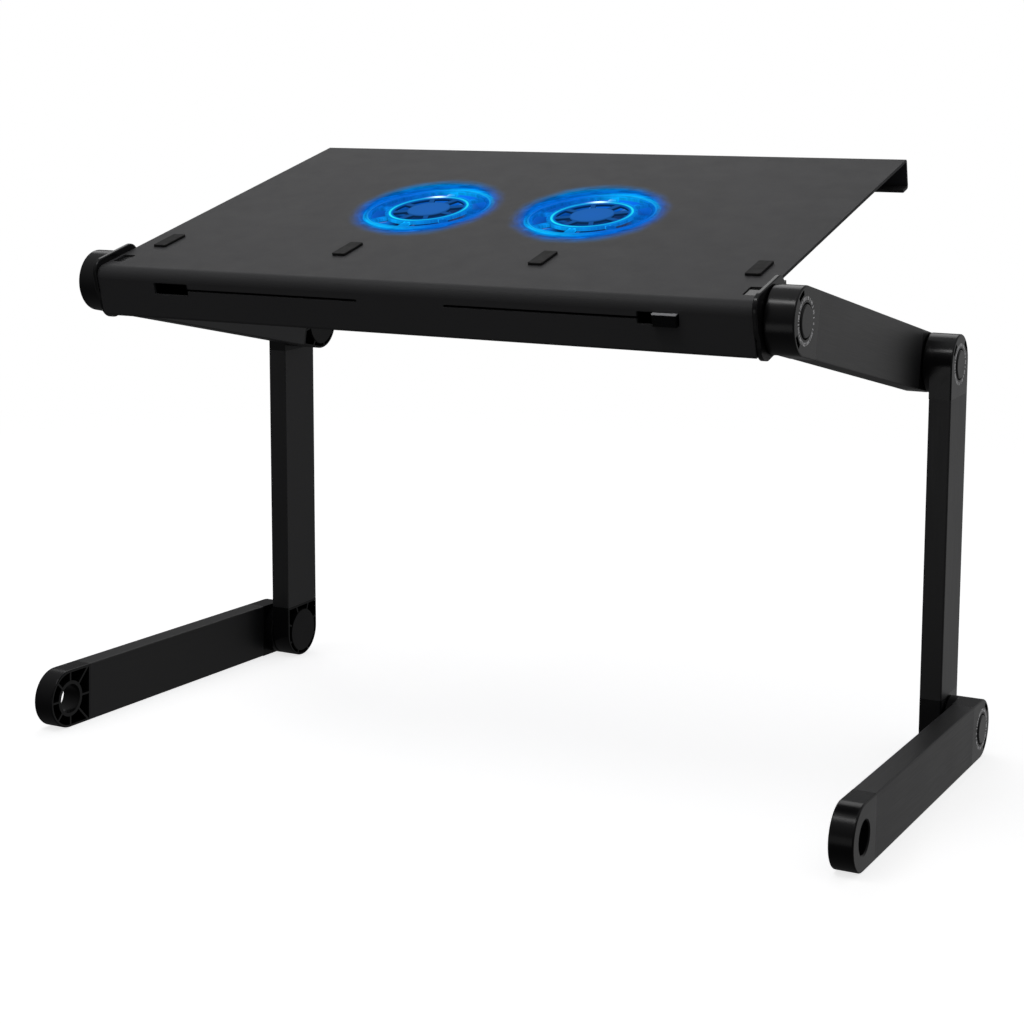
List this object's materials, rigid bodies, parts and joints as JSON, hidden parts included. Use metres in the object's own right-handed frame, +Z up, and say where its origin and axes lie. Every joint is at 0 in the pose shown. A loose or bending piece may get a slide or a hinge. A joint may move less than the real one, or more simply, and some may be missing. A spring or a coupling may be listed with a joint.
{
  "type": "laptop cooling stand",
  "caption": "Folding laptop stand: a sloped metal tabletop with two lit cooling fans under vents, on two side legs of hinged segments with push-button lock joints.",
  "frame": {"origin": "on the ground, under the middle of the bounding box", "axes": "+X to the user's right, +Y away from the user, +Z up"},
  "size_m": [0.5806, 0.3112, 0.3996],
  "materials": {
    "coated_sheet": "matte black powder coat on aluminium sheet",
    "coated_tube": "matte black anodised aluminium tube",
    "gloss_moulding": "glossy black moulded plastic",
    "fan_moulding": "satin black moulded plastic",
    "pad_rubber": "dark soft rubber",
    "zinc_steel": "zinc plated steel",
    "gear_metal": "die cast alloy, as cast",
    "windings": "lacquered copper wire on an iron core",
    "light_guide": "translucent acrylic light guide, lit blue"
  },
  "bodies": {
    "tabletop": {"tabletop_plate": "coated_sheet", "anti_slip_pads": "pad_rubber", "left_light_rings": "light_guide", "right_light_rings": "light_guide", "left_fan_frame": "fan_moulding", "right_fan_frame": "fan_moulding", "left_fan_motor": "windings", "right_fan_motor": "windings", "fan_screws": "zinc_steel", "junction_box": "fan_moulding", "power_inlet": "zinc_steel", "left_end_cap": "gloss_moulding", "right_end_cap": "gloss_moulding", "end_cap_screws": "zinc_steel", "left_hub_bolt": "zinc_steel", "right_hub_bolt": "zinc_steel", "left_upper_arm_spring": "zinc_steel", "right_upper_arm_spring": "zinc_steel"},
    "left_fan": {"left_fan_rotor": "fan_moulding"},
    "right_fan": {"right_fan_rotor": "fan_moulding"},
    "stop": {"laptop_stop": "gloss_moulding"},
    "left_upper_arm": {"left_upper_arm_knuckle": "gloss_moulding", "left_upper_arm_tube": "coated_tube", "left_upper_arm_end": "gloss_moulding", "left_upper_arm_bolt": "zinc_steel", "left_lower_arm_spring": "zinc_steel"},
    "left_upper_arm_lock": {"left_upper_arm_button": "gloss_moulding", "left_upper_arm_lock_gear": "gear_metal"},
    "left_lower_arm": {"left_lower_arm_knuckle": "gloss_moulding", "left_lower_arm_tube": "coated_tube", "left_lower_arm_end": "gloss_moulding", "left_lower_arm_bolt": "zinc_steel", "left_foot_spring": "zinc_steel"},
    "left_lower_arm_lock": {"left_lower_arm_button": "gloss_moulding", "left_lower_arm_lock_gear": "gear_metal"},
    "left_foot": {"left_foot_knuckle": "gloss_moulding", "left_foot_tube": "coated_tube", "left_foot_end": "gloss_moulding"},
    "left_foot_lock": {"left_foot_button": "gloss_moulding", "left_foot_lock_gear": "gear_metal"},
    "right_upper_arm": {"right_upper_arm_knuckle": "gloss_moulding", "right_upper_arm_tube": "coated_tube", "right_upper_arm_end": "gloss_moulding", "right_upper_arm_bolt": "zinc_steel", "right_lower_arm_spring": "zinc_steel"},
    "right_upper_arm_lock": {"right_upper_arm_button": "gloss_moulding", "right_upper_arm_lock_gear": "gear_metal"},
    "right_lower_arm": {"right_lower_arm_knuckle": "gloss_moulding", "right_lower_arm_tube": "coated_tube", "right_lower_arm_end": "gloss_moulding", "right_lower_arm_bolt": "zinc_steel", "right_foot_spring": "zinc_steel"},
    "right_lower_arm_lock": {"right_lower_arm_button": "gloss_moulding", "right_lower_arm_lock_gear": "gear_metal"},
    "right_foot": {"right_foot_knuckle": "gloss_moulding", "right_foot_tube": "coated_tube", "right_foot_end": "gloss_moulding"},
    "right_foot_lock": {"right_foot_button": "gloss_moulding", "right_foot_lock_gear": "gear_metal"}
  },
  "joints": [
    {"name": "left_fan_spin", "type": "hinge", "parent": "tabletop", "child": "left_fan", "pos_m": [-0.0603, -0.00906, 0.3523], "axis": [0, -0.2756, 0.9613], "continuous": true},
    {"name": "right_fan_spin", "type": "hinge", "parent": "tabletop", "child": "right_fan", "pos_m": [0.0603, -0.00906, 0.3523], "axis": [0, -0.2756, 0.9613], "continuous": true},
    {"name": "laptop_stop_slide", "type": "slide", "parent": "tabletop", "child": "stop", "axis": [-1, 0, 0], "range_m": [0, 0.13]},
    {"name": "left_hub_turn", "type": "hinge", "parent": "tabletop", "child": "left_upper_arm", "pos_m": [-0.238, -0.12606, 0.30939], "axis": [1, 0, 0], "continuous": true},
    {"name": "left_hub_button_press", "type": "slide", "parent": "left_upper_arm", "child": "left_upper_arm_lock", "axis": [1, 0, 0], "range_m": [0, 0.004], "stiffness_N_per_m": 900, "springref_m": -0.002, "deforming": ["left_upper_arm_spring"]},
    {"name": "left_elbow_turn", "type": "hinge", "parent": "left_upper_arm", "child": "left_lower_arm", "pos_m": [-0.2565, 0.1262, 0.26582], "axis": [1, 0, 0], "continuous": true},
    {"name": "left_elbow_button_press", "type": "slide", "parent": "left_lower_arm", "child": "left_lower_arm_lock", "axis": [1, 0, 0], "range_m": [0, 0.004], "stiffness_N_per_m": 900, "springref_m": -0.002, "deforming": ["left_lower_arm_spring"]},
    {"name": "left_ankle_turn", "type": "hinge", "parent": "left_lower_arm", "child": "left_foot", "pos_m": [-0.277, 0.13565, 0.02], "axis": [1, 0, 0], "continuous": true},
    {"name": "left_ankle_button_press", "type": "slide", "parent": "left_foot", "child": "left_foot_lock", "axis": [1, 0, 0], "range_m": [0, 0.004], "stiffness_N_per_m": 900, "springref_m": -0.002, "deforming": ["left_foot_spring"]},
    {"name": "right_hub_turn", "type": "hinge", "parent": "tabletop", "child": "right_upper_arm", "pos_m": [0.238, -0.12606, 0.30939], "axis": [1, 0, 0], "continuous": true},
    {"name": "right_hub_button_press", "type": "slide", "parent": "right_upper_arm", "child": "right_upper_arm_lock", "axis": [-1, 0, 0], "range_m": [0, 0.004], "stiffness_N_per_m": 900, "springref_m": -0.002, "deforming": ["right_upper_arm_spring"]},
    {"name": "right_elbow_turn", "type": "hinge", "parent": "right_upper_arm", "child": "right_lower_arm", "pos_m": [0.2565, 0.1262, 0.26582], "axis": [1, 0, 0], "continuous": true},
    {"name": "right_elbow_button_press", "type": "slide", "parent": "right_lower_arm", "child": "right_lower_arm_lock", "axis": [-1, 0, 0], "range_m": [0, 0.004], "stiffness_N_per_m": 900, "springref_m": -0.002, "deforming": ["right_lower_arm_spring"]},
    {"name": "right_ankle_turn", "type": "hinge", "parent": "right_lower_arm", "child": "right_foot", "pos_m": [0.277, 0.13565, 0.02], "axis": [1, 0, 0], "continuous": true},
    {"name": "right_ankle_button_press", "type": "slide", "parent": "right_foot", "child": "right_foot_lock", "axis": [-1, 0, 0], "range_m": [0, 0.004], "stiffness_N_per_m": 900, "springref_m": -0.002, "deforming": ["right_foot_spring"]}
  ]
}
